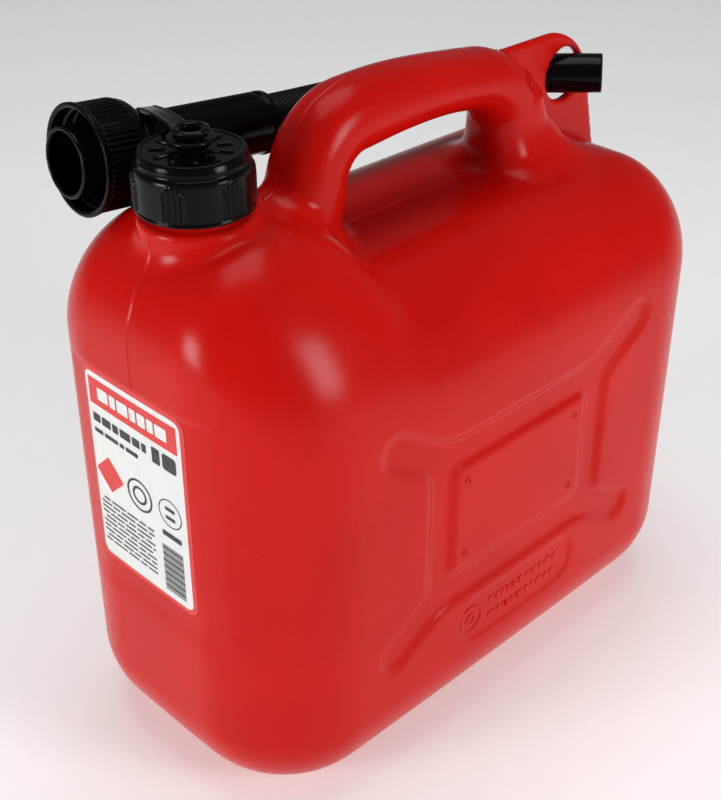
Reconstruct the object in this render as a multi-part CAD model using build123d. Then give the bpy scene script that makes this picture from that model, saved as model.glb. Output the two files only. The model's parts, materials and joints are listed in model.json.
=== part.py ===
from build123d import *
import math
import os

# Plastic jerry can of 10 litres with a screw cap and a flexible pouring spout stowed on it.
# Frame: origin at the centre of the underside, +X towards the rear (ear end), +Z up. Millimetres.

# --- tank ---------------------------------------------------------------------------------
LENGTH = 316.0
WIDTH = 165.0
TOP_Z = 246.0
WALL = 2.4
CORNER_R = 57.0
BOTTOM_R = 44.0
TOP_R = 36.0

# shoulder that carries the neck
SHOULDER_Z0 = 176.0
SHOULDER_HEEL_R = 20.0
# front x, rear x, half width, top z, upright corner radius, top rim radius
SADDLE = (-157.0, -53.0, 68.0, 274.0, 50.5, 50.0)
BROW = (-157.5, -66.0, 46.0, 274.5, 44.0, 42.0)

# --- neck and cap -------------------------------------------------------------------------
NECK_X = -118.0
NECK_R = 20.0
NECK_BORE_R = 17.0
NECK_SEAT_Z = 278.0
NECK_SEAT_R = 25.0
SEAT_Z0 = 260.0
NECK_TOP_Z = 300.4
LEAD = 3.0
RIDGE_Z = 290.0
RIDGE_TURNS = 1.0
RIDGE_H = 1.2
RIDGE_TIP = 0.6
RIDGE_ROOT = 1.2
THREAD_GAP = 0.3

CAP_Z0 = 281.0
CAP_SHOULDER_Z = 299.5
CAP_TOP_Z = 305.0
CAP_R = 24.0
CAP_TOP_R = 21.6
CAP_BORE_R = NECK_R + RIDGE_H + THREAD_GAP
CAP_ROOF = 2.4
RIB_GROUPS = 6
RIBS_PER_GROUP = 5
RIB_STEP_DEG = 5.2
RIB_PROUD = 0.8
SEAL_T = 2.0

BOSS_R = 5.4
BOSS_LIP_R = 7.6
BOSS_LIP_Z = 311.3
BOSS_TOP_Z = 313.6
BOSS_BORE_R = 3.9

# --- handle and ear -----------------------------------------------------------------------
HANDLE_HALF_W = 17.0
HANDLE_HALF_H = 15.0
HANDLE_PATH = [(-72.0, 236.0), (-57.0, 297.0), (53.0, 295.0), (101.0, 240.0)]
HANDLE_BENDS = [32.0, 44.0]
LEG_PATH = [(36.0, 294.0), (69.0, 292.0), (75.0, 236.0)]
LEG_BENDS = [24.0]

EAR_T = 4.0
EAR_TOP_Z = 302.0
EAR_FRONT_X = 50.0
EAR_ROUND_R = 25.0
EAR_ROUND_X = 108.0
EAR_FOOT = (142.5, 232.0)
EAR_HOLE_X = 115.2
EAR_HOLE_Z = 279.6
EAR_HOLE_R = 13.4

# --- spout, stowed along the far side -------------------------------------------------------
SPOUT_MOUTH = Vector(-135.9, 55.0, 288.6)
SPOUT_DIR = Vector(0.9957, -0.050, -0.0775).normalized()
COLLAR_L = 26.0
COLLAR_RIM_R = 23.9
COLLAR_R = 23.0
COLLAR_BORE_R = CAP_BORE_R
COLLAR_BACK = 2.4
COLLAR_LIP = 2.2
COLLAR_TAPER_L = 4.5
COLLAR_TAIL_R = 20.5
INLET_R = 15.0
INLET_WALL = 1.8
INLET_REACH = 5.5
FLANGE_R = 19.0
FLANGE_T = 2.4
GASKET_T = 2.0
SPOUT_NECK_R = 13.4
SPOUT_R = 13.6
SPOUT_L = 98.0
SPOUT_RING_R = 14.4
SOCKET_L = 10.0
VENT_R = 4.6
VENT_RISE = 10.4

HOSE_R = 12.1
HOSE_BORE_R = 10.0
HOSE_STRAIGHT = 10.0
HOSE_MIDDLE = (12.0, 47.3, 278.2)
HOSE_CORNER = 54.0
HOSE_BENDS = [400.0, 260.0, 66.0]
SOCKET_GAP = 0.15

TIP_R = 9.7
TIP_BORE_R = 8.2
TIP_DIR = Vector(0.573, -0.817, 0.06).normalized()
TIP_OUT = 20.5
TIP_IN = 25.0
TIP_OVERLAP = 12.0

# --- tether between spout and cap -----------------------------------------------------------
TETHER_T = 2.0
TETHER_RING_T = 2.6
TETHER_W = 8.5
TETHER_RING_S = 33.5
TETHER_RING_L = 8.0
TETHER_RING_GAP = 0.3
EYE_R = 6.7
EYE_OUTER_R = 9.6
EYE_Z = 308.4
EYE_SET_BACK = 0.7
BAND_CROWN = 1.6
HINGE_Y = 45.0
HINGE_Z = 303.6
HINGE_GAP = 0.5
STUB_L = 9.0

# --- label ----------------------------------------------------------------------------------
LABEL_T = 0.3
LABEL_HALF_W = 35.1
LABEL_Y = 2.5
LABEL_Z0 = 108.0
LABEL_Z1 = 210.0
LABEL_CORNER_R = 6.0


def along(distance):
    """The point on the spout's axis at that distance behind its mouth."""
    return SPOUT_MOUTH + SPOUT_DIR * distance


def spout_plane(distance):
    """A plane square to the spout's axis, with its local Y nearly up."""
    side = Vector(0, 0, 1).cross(SPOUT_DIR).normalized()
    return Plane(origin=along(distance), x_dir=side, z_dir=SPOUT_DIR)


def tube(plane, length, outer, inner=0.0):
    """A round bar or tube that starts on the plane."""
    solid = extrude(plane * Circle(outer), amount=length)
    if inner > 0:
        solid -= extrude(plane * Circle(inner), amount=length)
    return solid


def level(x, y, z):
    """A level plane with its origin at the point."""
    return Plane(origin=(x, y, z))


def rounded_block(inset, x0, x1, half_width, z0, z1, corner_r, bottom_r, top_r):
    """A block with upright corners and both rims rounded, all faces moved inwards by inset."""
    length = x1 - x0 - 2 * inset
    width = 2 * (half_width - inset)
    height = z1 - z0 - 2 * inset
    block = Pos((x0 + x1) / 2, 0, (z0 + z1) / 2) * Box(length, width, height)
    block = fillet(block.edges().filter_by(Axis.Z), corner_r - inset)
    rims = block.edges().filter_by(lambda e: abs(e.center().Z - (z0 + inset)) < 0.01)
    block = fillet(rims, bottom_r - inset)
    rims = block.edges().filter_by(lambda e: abs(e.center().Z - (z1 - inset)) < 0.01)
    return fillet(rims, top_r - inset)


def tank(inset=0.0):
    """The can's main volume, without shoulder, neck, handle and ear."""
    half = LENGTH / 2
    return rounded_block(inset, -half, half, WIDTH / 2, 0.0, TOP_Z, CORNER_R, BOTTOM_R, TOP_R)


def shoulder(inset=0.0):
    """The raised front part that the neck stands on: a wide saddle, a steeper brow, the neck's seat."""
    seat = level(NECK_X, 0, SEAT_Z0) * Circle(NECK_SEAT_R - inset)
    solid = extrude(seat, amount=NECK_SEAT_Z - SEAT_Z0 - inset)
    for front, rear, half_width, top, corner_r, top_r in (SADDLE, BROW):
        radii = (corner_r, SHOULDER_HEEL_R, top_r)
        solid += rounded_block(inset, front, rear, half_width, SHOULDER_Z0, top, *radii)
    return solid


def handle(inset=0.0):
    """The grip with its two legs as one oval bar, and the upright front part of the rear leg."""
    bars = []
    for corners, bends in ((HANDLE_PATH, HANDLE_BENDS), (LEG_PATH, LEG_BENDS)):
        path = FilletPolyline(*[(x, 0, z) for x, z in corners], radius=bends)
        section = Plane(origin=path @ 0, x_dir=(0, 1, 0), z_dir=path % 0)
        oval = Ellipse(HANDLE_HALF_W - inset, HANDLE_HALF_H - inset)
        bars.append(sweep(section * oval, path=path))
    return bars[0] + bars[1]


def ear():
    """The pinched web behind the grip, with the round end that holds the spout's tip."""
    round_z = EAR_TOP_Z - EAR_ROUND_R
    tail = math.hypot(EAR_FOOT[0] - EAR_ROUND_X, EAR_FOOT[1] - round_z)
    lean = math.atan2(EAR_FOOT[1] - round_z, EAR_FOOT[0] - EAR_ROUND_X)
    touch = lean + math.acos(EAR_ROUND_R / tail)
    touch_point = (
        EAR_ROUND_X + EAR_ROUND_R * math.cos(touch),
        round_z + EAR_ROUND_R * math.sin(touch),
    )
    middle = (touch + math.pi / 2) / 2
    middle_point = (
        EAR_ROUND_X + EAR_ROUND_R * math.cos(middle),
        round_z + EAR_ROUND_R * math.sin(middle),
    )
    top = Line((EAR_FRONT_X, EAR_TOP_Z), (EAR_ROUND_X, EAR_TOP_Z))
    bow = ThreePointArc((EAR_ROUND_X, EAR_TOP_Z), middle_point, touch_point)
    rest = Polyline(touch_point, EAR_FOOT, (80.0, EAR_FOOT[1]), (EAR_FRONT_X, EAR_TOP_Z))
    outline = make_face([top, bow, rest])
    upright = Plane(origin=(0, 0, 0), x_dir=(1, 0, 0), z_dir=(0, -1, 0))
    return extrude(upright * outline, amount=EAR_T / 2, both=True)


def thread_ridge(core_r, z0, inward):
    """A single-start right-hand ridge round the neck's axis; inward ridges stand on a bore."""
    reach = -RIDGE_H if inward else RIDGE_H
    bury = 0.3 if inward else -0.3
    helix = Pos(NECK_X, 0, z0) * Helix(pitch=LEAD, height=LEAD * RIDGE_TURNS, radius=core_r)
    start = Plane(origin=helix @ 0, x_dir=(1, 0, 0), z_dir=helix % 0)
    profile = Polygon(
        (bury, -RIDGE_ROOT / 2),
        (reach, -RIDGE_TIP / 2),
        (reach, RIDGE_TIP / 2),
        (bury, RIDGE_ROOT / 2),
        align=None,
    )
    return sweep(start * profile, path=helix, is_frenet=True)


def make_can_body():
    outer = tank() + shoulder() + handle() + ear()
    outer += tube(level(NECK_X, 0, NECK_SEAT_Z - 3), NECK_TOP_Z - NECK_SEAT_Z + 3, NECK_R)
    outer -= tank(WALL) + shoulder(WALL) + handle(WALL)
    outer -= tube(level(NECK_X, 0, SEAT_Z0 - 6), 60, NECK_BORE_R)
    outer -= Pos(EAR_HOLE_X, 0, EAR_HOLE_Z) * Rot(90, 0, 0) * Cylinder(EAR_HOLE_R, 4 * EAR_T)
    return outer + thread_ridge(NECK_R, RIDGE_Z, inward=False)


def make_cap():
    body = tube(level(NECK_X, 0, CAP_Z0), CAP_SHOULDER_Z - CAP_Z0, CAP_R)
    cone_h = CAP_TOP_Z - CAP_SHOULDER_Z
    body += Pos(NECK_X, 0, CAP_SHOULDER_Z + cone_h / 2) * Cone(CAP_R - 1.2, CAP_TOP_R, cone_h)
    for group in range(RIB_GROUPS):
        for rib in range(RIBS_PER_GROUP):
            turn = group * 360 / RIB_GROUPS + (rib - (RIBS_PER_GROUP - 1) / 2) * RIB_STEP_DEG
            height = CAP_SHOULDER_Z - CAP_Z0 - 4.0
            bar = Pos(CAP_R, 0, CAP_Z0 + 2.0 + height / 2) * Box(2 * RIB_PROUD, 1.1, height)
            body += Pos(NECK_X, 0, 0) * Rot(0, 0, turn) * bar
    roof_z = CAP_TOP_Z - CAP_ROOF
    body -= tube(level(NECK_X, 0, CAP_Z0), roof_z - CAP_Z0, CAP_BORE_R)
    body += tube(level(NECK_X, 0, CAP_TOP_Z - 0.5), BOSS_TOP_Z - CAP_TOP_Z + 0.5, BOSS_R)
    body += tube(level(NECK_X, 0, BOSS_LIP_Z), BOSS_TOP_Z - BOSS_LIP_Z, BOSS_LIP_R)
    body -= tube(level(NECK_X, 0, CAP_TOP_Z + 1.0), 20, BOSS_BORE_R)
    return body + thread_ridge(CAP_BORE_R, RIDGE_Z - LEAD / 2, inward=True)


def make_cap_seal():
    return tube(level(NECK_X, 0, CAP_TOP_Z - CAP_ROOF - SEAL_T - 0.1), SEAL_T, CAP_BORE_R - 0.6)


def make_spout_collar():
    straight = COLLAR_L - COLLAR_TAPER_L
    barrel = tube(spout_plane(0), COLLAR_LIP, COLLAR_RIM_R)
    barrel += tube(spout_plane(0), straight, COLLAR_R)
    taper = Cone(COLLAR_R, COLLAR_TAIL_R, COLLAR_TAPER_L)
    barrel += spout_plane(straight + COLLAR_TAPER_L / 2) * taper
    barrel -= tube(spout_plane(0), COLLAR_L - COLLAR_BACK - 2.0, COLLAR_BORE_R)
    barrel -= tube(spout_plane(0), COLLAR_L - COLLAR_BACK, FLANGE_R + 0.4)
    return barrel - tube(spout_plane(0), COLLAR_L + 5, SPOUT_NECK_R + 0.5)


def make_spout_gasket():
    start = COLLAR_L - COLLAR_BACK - 0.3 - FLANGE_T - GASKET_T
    return tube(spout_plane(start), GASKET_T, FLANGE_R - 0.4, INLET_R)


def make_spout_base():
    flange_at = COLLAR_L - COLLAR_BACK - 0.3 - FLANGE_T
    bore_r = INLET_R - INLET_WALL
    body = tube(spout_plane(-INLET_REACH), INLET_REACH + flange_at + 1, INLET_R, bore_r)
    body += tube(spout_plane(flange_at), FLANGE_T, FLANGE_R)
    neck_end = TETHER_RING_S + TETHER_RING_L / 2 + 1.5
    body += tube(spout_plane(flange_at + 0.5), neck_end - flange_at, SPOUT_NECK_R)
    body += tube(spout_plane(neck_end), SPOUT_L - neck_end, SPOUT_R)
    body += tube(spout_plane(SPOUT_L - 3.5), 3.5, SPOUT_RING_R)
    vent_length = SPOUT_L - 8.0 - neck_end
    vent_plane = spout_plane(neck_end)
    vent = extrude(vent_plane * Pos(0, VENT_RISE) * Circle(VENT_R), amount=vent_length)
    body += vent
    body -= tube(spout_plane(-INLET_REACH), INLET_REACH + flange_at + 1, bore_r)
    body -= tube(spout_plane(flange_at), SPOUT_L, SPOUT_NECK_R - 2.2)
    return body - tube(spout_plane(SPOUT_L - SOCKET_L), SOCKET_L + 1, HOSE_R + SOCKET_GAP)


def tip_point(distance):
    """The point on the tip's axis at that distance beyond the ear's middle plane."""
    return Vector(EAR_HOLE_X, 0, EAR_HOLE_Z) + TIP_DIR * distance


def make_spout_hose():
    start = along(SPOUT_L - SOCKET_L + 0.2)
    end = tip_point(-TIP_IN + TIP_OVERLAP)
    bends = [along(SPOUT_L + HOSE_STRAIGHT), HOSE_MIDDLE, tip_point(-HOSE_CORNER)]
    path = FilletPolyline(start, *bends, end, radius=HOSE_BENDS)
    print("hose centre line", round(path.length, 1), "mm")
    plane = Plane(origin=path @ 0, z_dir=path % 0)
    return sweep(plane * (Circle(HOSE_R) - Circle(HOSE_BORE_R)), path=path)


def make_spout_tip():
    """The outlet tube, which passes through the ear's hole."""
    plane = Plane(origin=tip_point(-TIP_IN), z_dir=TIP_DIR)
    return tube(plane, TIP_IN + TIP_OUT, TIP_R, TIP_BORE_R)


def tether_frame():
    """Hinge point of the tether's band and the level direction from it to the cap's boss."""
    ring_centre = along(TETHER_RING_S)
    hinge = Vector(ring_centre.X, HINGE_Y, HINGE_Z)
    reach = Vector(NECK_X, 0, hinge.Z) - hinge
    return hinge, reach


def make_tether_ring():
    """Ring round the spout's neck, with the stub that the band flexes from."""
    plane = spout_plane(TETHER_RING_S - TETHER_RING_L / 2)
    inner = SPOUT_NECK_R + TETHER_RING_GAP
    ring = tube(plane, TETHER_RING_L, inner + TETHER_RING_T)
    hinge, reach = tether_frame()
    run = Plane(origin=hinge, x_dir=reach, z_dir=(0, 0, 1))
    stub_h = 2 * TETHER_T
    stub = Box(STUB_L, TETHER_W, stub_h)
    ring += run * Pos(-STUB_L / 2 - HINGE_GAP, 0, (TETHER_T - stub_h) / 2) * stub
    return ring - tube(plane.offset(-10), TETHER_RING_L + 20, inner)


def make_tether_band():
    """The flat band and the eye that is clipped round the cap's boss."""
    hinge, reach = tether_frame()
    away = reach.normalized()
    eye = Vector(NECK_X, 0, EYE_Z) + away * EYE_SET_BACK
    eye_ring = tube(level(eye.X, eye.Y, eye.Z - TETHER_T / 2), TETHER_T, EYE_OUTER_R)
    upright = Plane(origin=hinge, x_dir=away, z_dir=away.cross(Vector(0, 0, 1)))
    span = (eye - hinge).dot(away) - EYE_R - 1.0
    rise = EYE_Z - HINGE_Z
    bow = ThreePointArc((HINGE_GAP, 0), (0.52 * span, rise + BAND_CROWN), (span, rise))
    band = extrude(upright * trace(bow, TETHER_T), amount=TETHER_W / 2, both=True)
    return eye_ring + band - tube(level(eye.X, eye.Y, eye.Z - 5), 10, EYE_R)


def make_label():
    """A thin sticker on the flat and the start of both rounded corners of the front."""
    skin = tank(-LABEL_T) - tank()
    outline = RectangleRounded(2 * LABEL_HALF_W, LABEL_Z1 - LABEL_Z0, LABEL_CORNER_R)
    middle_z = (LABEL_Z0 + LABEL_Z1) / 2
    front = Plane(origin=(-LENGTH, LABEL_Y, middle_z), x_dir=(0, 1, 0), z_dir=(1, 0, 0))
    window = extrude(front * outline, amount=LENGTH * 0.75)
    return skin & window


PIECES = {
    "can_body": make_can_body,
    "label": make_label,
    "cap": make_cap,
    "cap_seal": make_cap_seal,
    "tether_ring": make_tether_ring,
    "tether_band": make_tether_band,
    "spout_collar": make_spout_collar,
    "spout_gasket": make_spout_gasket,
    "spout_base": make_spout_base,
    "spout_hose": make_spout_hose,
    "spout_tip": make_spout_tip,
}


os.makedirs("parts", exist_ok=True)
for name, make in PIECES.items():
    piece = make()
    print(name, round(piece.volume, 1), "mm3")
    export_step(piece, f"parts/{name}.step")
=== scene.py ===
import json
import math
import bpy
import numpy as np
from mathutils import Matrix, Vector


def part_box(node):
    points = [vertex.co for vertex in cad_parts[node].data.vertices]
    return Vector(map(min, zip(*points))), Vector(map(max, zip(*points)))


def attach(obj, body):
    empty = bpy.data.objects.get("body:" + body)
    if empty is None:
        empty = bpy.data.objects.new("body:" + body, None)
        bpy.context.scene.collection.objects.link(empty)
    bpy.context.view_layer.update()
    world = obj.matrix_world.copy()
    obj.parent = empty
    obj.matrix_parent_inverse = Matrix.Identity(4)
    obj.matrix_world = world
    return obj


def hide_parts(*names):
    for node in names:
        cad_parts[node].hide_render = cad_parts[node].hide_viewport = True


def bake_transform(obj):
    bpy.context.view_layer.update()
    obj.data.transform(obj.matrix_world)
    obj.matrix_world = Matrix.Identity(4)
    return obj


# Looks of the jerry can. Shapes are worked out in millimetres in the part's own frame:
# origin under the middle of the can, +X to the ear, neck and label at -X, +Z up.

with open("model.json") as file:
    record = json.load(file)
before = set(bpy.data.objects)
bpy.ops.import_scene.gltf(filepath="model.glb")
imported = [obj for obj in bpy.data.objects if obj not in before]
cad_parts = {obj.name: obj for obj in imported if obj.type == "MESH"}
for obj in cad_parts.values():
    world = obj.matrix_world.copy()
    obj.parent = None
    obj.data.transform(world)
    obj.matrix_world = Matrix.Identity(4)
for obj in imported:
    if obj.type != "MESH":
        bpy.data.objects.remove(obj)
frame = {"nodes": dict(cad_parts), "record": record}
RECORD = frame["record"]
JOINTS = {joint["name"]: joint for joint in RECORD["behaviour"]["joints"]}
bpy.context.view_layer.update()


def node_box(*nodes):
    """Lowest and highest corner of CAD nodes, in millimetres."""
    boxes = [np.array(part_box(node)) * 1000 for node in nodes]
    return np.min([b[0] for b in boxes], axis=0), np.max([b[1] for b in boxes], axis=0)


def in_mm(values):
    """Metres from the record as an array of millimetres."""
    return np.array(values, float) * 1000


# --- driving dimensions -----------------------------------------------------------------------
# The can's walls. Moulded marks may stand out of them by MARK_PROUD, up to the CAD's own box.
SHELL_LOW, SHELL_HIGH = node_box("can_body")
MARK_PROUD = 0.4
HALF_L = -SHELL_LOW[0] - MARK_PROUD
HALF_W = SHELL_HIGH[1] - MARK_PROUD
CORNER_R = 52.0
TOP_Z = 246.0
BOTTOM_R = 44.0
SIDE_RIM_Z = 191.0
SIDE_RIM_R = 55.0
FRONT_RIM_R = 45.0
REAR_RIM_R = 46.0
END_BULGE = 2.0
SIDE_BULGE = 1.2

# The hump at the front, which carries the neck and falls away to both sides.
HUMP_Z = 274.5
HUMP_R = 50.0
HUMP_REAR_X = -53.0
HUMP_BLEND = 7.0
HUMP_CROWN = 3.2
HUMP_CROWN_Y = 40.0

# The neck under the cap, and the raised seat round it.
NECK_X, NECK_Y, _ = in_mm(JOINTS["cap_turn"]["pos_m"])
NECK_R = 20.0
NECK_BORE_R = 17.0
NECK_BORE_END_Z = 268.0
NECK_FOOT_Z = 262.0
NECK_TOP_Z = 300.4
SEAT_TOP_Z = 278.0
SEAT_FOOT_Z = 230.0
SEAT_R = 24.0

# The handle: lines of (x, z) corners with the radius of each bend, and half sizes of its section.
GRIP_PATH = [(-70.0, 228.0), (-53.0, 295.6), (4.0, 298.9), (58.0, 292.6), (106.0, 228.0)]
GRIP_BENDS = [27.0, 300.0, 42.0]
LEG_PATH = [(36.0, 295.0), (69.0, 291.0), (75.0, 226.0)]
LEG_BENDS = [24.0]
WEDGE = ((76.0, 276.0), (86.0, 240.0))
FRONT_HALF_H = 16.2
REAR_HALF_H = 13.4
FRONT_FOOT_GAIN = 2.2
REAR_FOOT_GAIN = 4.0
GRIP_HALF_W = 17.0
REAR_FLARE = 0.36
OVAL_POWER = 2.15

# The ear: a thin plate behind the handle with a hole for the spout's tip.
EAR_T = 4.0
EAR_TOP_Z = 302.0
EAR_FOOT_Z = 225.0
EAR_FRONT_X = 68.0
EAR_REAR = (133.0, 284.0)
EAR_SLANT = (47.0, 12.0)
EAR_ROUND_R = 25.0
EAR_HOLE = (115.2, 279.6)
EAR_HOLE_R = 13.4

# The panel on the broad sides: a sunk frame with four arms round a plateau, and a plate below.
PLATEAU_HALF_X = 44.0
PLATEAU_Z = (101.0, 154.0)
PLATEAU_CORNER_R = 2.5
FRAME_HALF_X = 63.5
FRAME_Z = (79.0, 174.5)
FRAME_CORNER_R = 9.0
UPPER_ARM = ((52, 164), (84, 184))
LOWER_ARM = ((52, 90), (83, 72))
ARM_R = 9.5
PANEL_DEPTH = 2.2
PANEL_SLOPE = 6.5
PLATE_X = 4.0
PLATE_Z = 61.5
PLATE_HALF_X = 43.0
PLATE_HALF_Z = 14.5
PLATE_CORNER_R = 13.0
PLATE_DEPTH = 0.9
PLATE_SLOPE = 1.6

# The shallow field on the front wall that takes the label.
LEDGE_Z = 211.3
LEDGE_DEPTH = 0.7
LEDGE_SLOPE = 1.4

# The cap.
CAP_R = 24.0
CAP_BORE_R = 21.5
CAP_ROUND_R = 0.35
CAP_SIDES = 864
CAP_ROW_H = 0.7
RIB_GROUPS = 6
RIBS_PER_GROUP = 5
RIB_STEP = math.radians(5.2)
RIB_START = math.radians(31)
RIB_HEIGHT = 0.8
RIB_TOP_Z = 298.0
RIB_FOOT_Z = 282.6
RIB_ARCH = 3.6
CAP_BARS = 11
CAP_BAR_TURN = 8
CAP_BAR_R = 13.6

# The spout: places along its axis are measured from the outer end of the union nut.
SPOUT_AT = in_mm(JOINTS["collar_spin"]["pos_m"])
SPOUT_AXIS = np.array(JOINTS["collar_spin"]["axis"], float)
COLLAR_R = 23.0
COLLAR_RIM_R = 23.9
COLLAR_RIBS = 60
COLLAR_RIB_HEIGHT = 0.6
INLET_R = 15.0
FLANGE_S = 21.3
FLANGE_R = 19.0
SPOUT_NECK_R = 13.4
SPOUT_R = 13.6
SPOUT_RING_R = 14.4
SPOUT_BORE_R = 11.2
VENT_R = 4.6
VENT_RISE = 10.4
VENT_S = (39.0, 94.4)

# The hose, from inside the spout's barrel to the tip's tube.
HOSE_R = 12.1
HOSE_BORE_R = 10.0
HOSE_PITCH = 2.0
HOSE_GROOVE = 1.05
HOSE_SIDES = 56
HOSE_START_S = 88.2
HOSE_BEND_S = 108.0
HOSE_MIDDLE = (12.0, 47.3, 278.2)
HOSE_TIP_BEND = 54.0
HOSE_END = 13.0
HOSE_BENDS = [400.0, 260.0, 66.0]

# The tip, which passes through the ear's hole along TIP_AXIS and has a small nick at its end.
TIP_AXIS = np.array([0.573174, -0.817248, 0.060018])
TIP_AT = np.array([EAR_HOLE[0], 0.0, EAR_HOLE[1]])
TIP_R = 9.7
TIP_BORE_R = 8.2
TIP_OUT = 20.5
TIP_IN = 25.0
TIP_TAPER = 0.12
NICK_ANGLE = 1.9
NICK_WIDTH = 0.09
NICK_DEPTH = 0.7

# The tether: a ring on the spout's neck, an arched strap, and an eye round the cap's boss.
# The eye stands a little past the boss, away from the hinge, as in the CAD model.
RING_S = 33.5
RING_L = 8.0
RING_MID_R = 15.0
RING_HALF_T = 1.3
HINGE = in_mm(JOINTS["tether_flex"]["pos_m"])
EYE_Z = 308.4
EYE_R = 6.7
EYE_MID_R = 8.15
EYE_HALF_T = 1.45
EYE_SHIFT = (0.23, 0.66)
STRAP_HALF_W = 4.25
STRAP_T = 2.0
STRAP_EDGE = 0.5
STRAP_ROOT = 9.0
STRAP_ROOT_Z = 301.8

# The label and its layers, each a little further out than the one below.
LABEL_LOW, LABEL_HIGH = node_box("label")
LABEL_MID_Y = (LABEL_LOW[1] + LABEL_HIGH[1]) / 2
LABEL_HALF_W = 32.6
LABEL_STRETCH = (LABEL_HIGH[1] - LABEL_LOW[1]) / 2 / LABEL_HALF_W
LABEL_CORNER_R = 6.0
FILM_LEVEL = 0.12
FIELD_LEVEL = 0.2
PRINT_LEVEL = 0.28
TITLE_LEVEL = 0.36

# The small moulded marks and the parting line.
MARK_LEVEL = 0.3
LETTER_H = 3.8
LETTER_SCALE = 0.82
LETTER_GAP = 1.6
SEAM_HEIGHT = 0.3
FRONT_SEAM_HEIGHT = 0.32

# The stage, in metres, degrees and watts. The camera was solved from the photo.
CAMERA_AZIMUTH = -44.71
CAMERA_ELEVATION = 31.95
CAMERA_DISTANCE = 0.68323
CAMERA_TARGET = (-0.01801, 0.00765, 0.14189)
CAMERA_LENS = 61.64
FLOOR_HALF = 6.0
FLOOR_GLOW = 0.28
WORLD_COLOUR = (0.95, 0.97, 1.0)
WORLD_STRENGTH = 0.16


# --- distances: negative inside ----------------------------------------------------------------
def smooth(t):
    """0 below 0, 1 above 1, and an even curve between."""
    t = np.clip(t, 0.0, 1.0)
    return t * t * (3 - 2 * t)


def rise(value, start, end):
    """0 where a value is at start or before it, 1 at end or past it, and an even curve between."""
    return smooth((value - start) / (end - start))


def mix(a, b, share):
    """The value at a share of the way from a to b."""
    return a + (b - a) * share


def overlap(a, b, r):
    """What is inside both, with its edge rounded to r."""
    u, v = a + r, b + r
    return np.minimum(np.maximum(u, v), 0) + np.hypot(np.maximum(u, 0), np.maximum(v, 0)) - r


def join(a, b, r):
    """What is inside either, with the inner corner between them filled to r."""
    return -overlap(-a, -b, r)


def soft_max(a, b, reach):
    """The larger of two heights, with an even change over where they are within reach."""
    share = np.maximum(reach - np.abs(a - b), 0) / reach
    return np.maximum(a, b) + share * share * reach / 4


def rectangle(x, y, half_x, half_y, r):
    """A flat rectangle with round corners."""
    qx, qy = np.abs(x) - (half_x - r), np.abs(y) - (half_y - r)
    return np.minimum(np.maximum(qx, qy), 0) + np.hypot(np.maximum(qx, 0), np.maximum(qy, 0)) - r


def bar(x, y, start, end, r):
    """A flat bar with round ends from start to end."""
    run = np.array(end, float) - np.array(start, float)
    t = np.clip(((x - start[0]) * run[0] + (y - start[1]) * run[1]) / run.dot(run), 0, 1)
    return np.hypot(x - start[0] - t * run[0], y - start[1] - t * run[1]) - r


def bent_line(corners, radii, arc_steps=14):
    """A line through corners, each rounded to its radius."""
    corners = np.array(corners, float)
    line = [corners[0]]
    for i, r in enumerate(radii, start=1):
        before = corners[i - 1] - corners[i]
        after = corners[i + 1] - corners[i]
        before /= np.linalg.norm(before)
        after /= np.linalg.norm(after)
        half = math.acos(np.clip(before @ after, -1, 1)) / 2
        middle = before + after
        centre = corners[i] + middle / np.linalg.norm(middle) * r / math.sin(half)
        start = corners[i] + before * r / math.tan(half) - centre
        end = corners[i] + after * r / math.tan(half) - centre
        turn = math.pi - 2 * half
        for k in range(arc_steps + 1):
            t = k / arc_steps
            spoke = (start * math.sin((1 - t) * turn) + end * math.sin(t * turn)) / math.sin(turn)
            line.append(centre + spoke)
    line.append(corners[-1])
    return line


def line_distance(x, z, line):
    """Distance in the plane of symmetry from a line of (x, z) points."""
    nearest = bar(x, z, line[0], line[1], 0)
    for start, end in zip(line[1:-1], line[2:]):
        nearest = np.minimum(nearest, bar(x, z, start, end, 0))
    return nearest


# --- the can's shell ------------------------------------------------------------------------------
def plan(x, y):
    """Distance from the can's upright wall, and how far that wall is a broad side (1) or an end (0)."""
    far_x = np.abs(x) + END_BULGE * (y / HALF_W) ** 2 - (HALF_L - CORNER_R)
    far_y = np.abs(y) + SIDE_BULGE * (x / HALF_L) ** 2 - (HALF_W - CORNER_R)
    out_x, out_y = np.maximum(far_x, 0), np.maximum(far_y, 0)
    distance = np.minimum(np.maximum(far_x, far_y), 0) + np.hypot(out_x, out_y) - CORNER_R
    side = (out_y ** 2 + 1e-6) / (out_x ** 2 + out_y ** 2 + 2e-6)
    return distance, side


def top_height(x, y):
    """Height of the can's top, with the hump at the front that carries the neck."""
    reach = np.clip(x - (HUMP_REAR_X - HUMP_R), 0, HUMP_R)
    hump = HUMP_Z - HUMP_R + np.sqrt(np.maximum(HUMP_R ** 2 - reach ** 2, 0))
    hump = hump - HUMP_CROWN * (y / HUMP_CROWN_Y) ** 2
    return soft_max(TOP_Z, hump, HUMP_BLEND)


def tank(x, y, z):
    """The can without neck, handle and ear: upright walls, an oval upper rim and a round lower edge."""
    wall, side = plan(x, y)
    top_z = top_height(x, y)
    end_r = mix(REAR_RIM_R, FRONT_RIM_R, rise(x, 60.0, -100.0))
    flat_r = mix(end_r, SIDE_RIM_R, side)
    high_r = mix(end_r, top_z - SIDE_RIM_Z, side)
    u = np.maximum(wall / flat_r + 1, 0)
    v = np.maximum((z - top_z) / high_r + 1, 0)
    rim = (np.hypot(u, v) - 1) * np.minimum(flat_r, high_r)
    inner = np.maximum(wall, z - top_z)
    upper = np.where((u > 0) | (v > 0), rim, inner)
    return np.maximum(upper, overlap(wall, -z, BOTTOM_R))


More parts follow.
